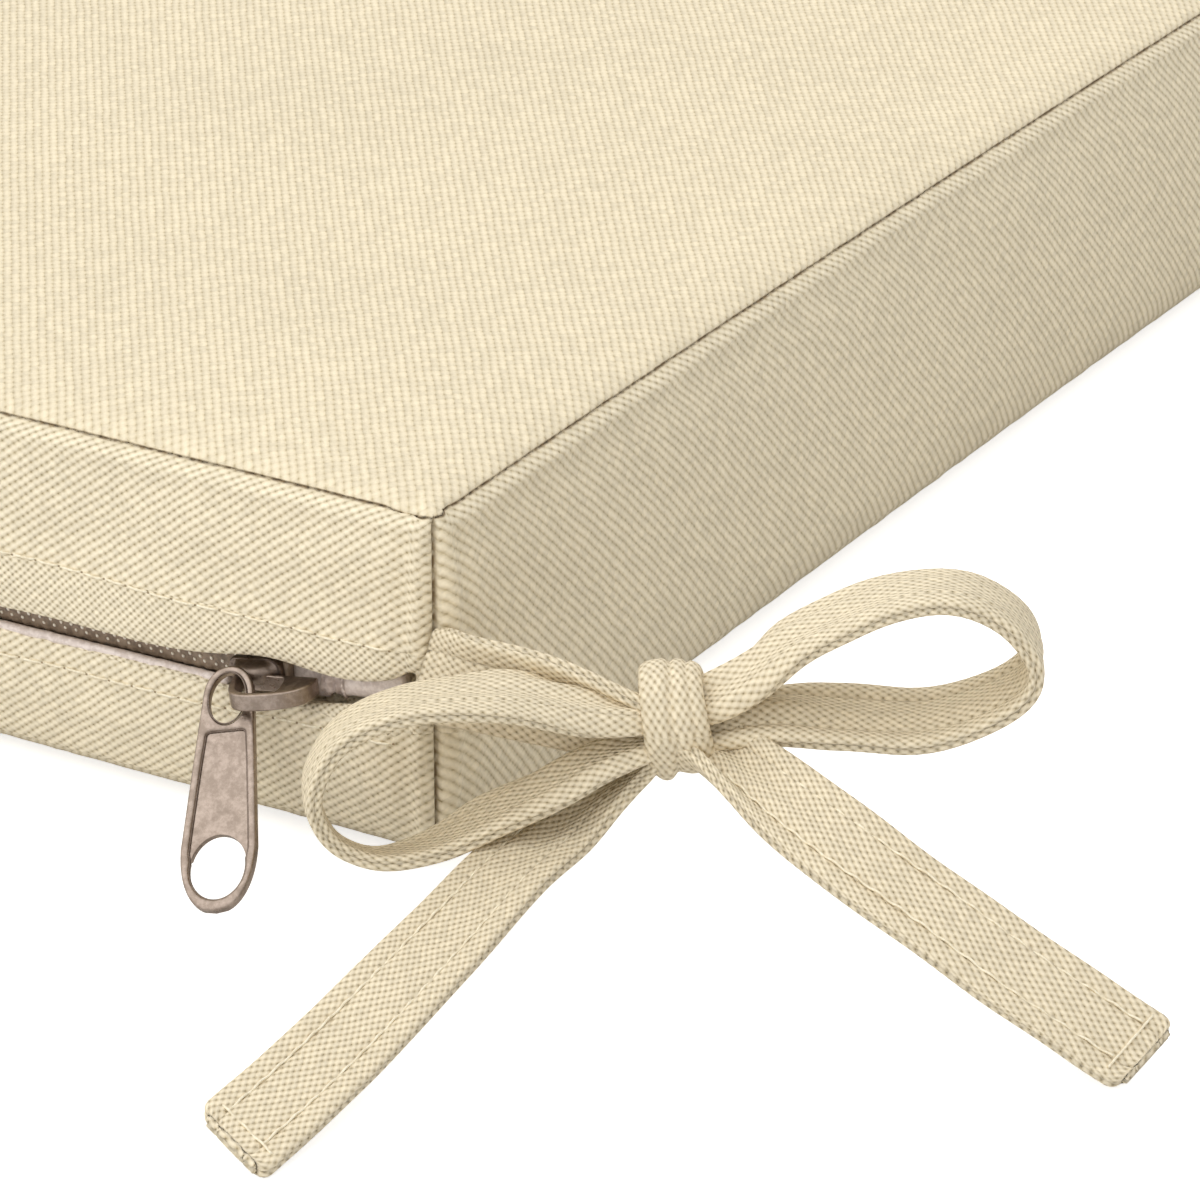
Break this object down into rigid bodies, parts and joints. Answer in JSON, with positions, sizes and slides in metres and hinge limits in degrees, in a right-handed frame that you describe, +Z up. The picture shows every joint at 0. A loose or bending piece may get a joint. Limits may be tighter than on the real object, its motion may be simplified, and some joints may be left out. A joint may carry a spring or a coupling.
{
  "type": "garden chair cushion",
  "caption": "Square boxed garden chair cushion in cream twill, with a zip along one side and knotted fabric ties at its two corners.",
  "frame": {"origin": "middle of the flat underside, on the surface the cushion rests on", "axes": "+Z up through the thickness, +X along the side with the zip, -Y out of the side with the zip"},
  "size_m": [0.6132, 0.5087, 0.0478],
  "materials": {
    "cover": "matt woven twill",
    "tie": "matt woven twill",
    "tape": "matt woven tape",
    "coil": "satin",
    "metal": "worn antique nickel"
  },
  "bodies": {
    "root": {"cushion": "cover", "zip_tape": "tape", "zip_coil": "coil", "zip_slider": "metal", "zip_pull": "metal", "tie_right": "tie", "tie_left": "tie"}
  },
  "joints": []
}
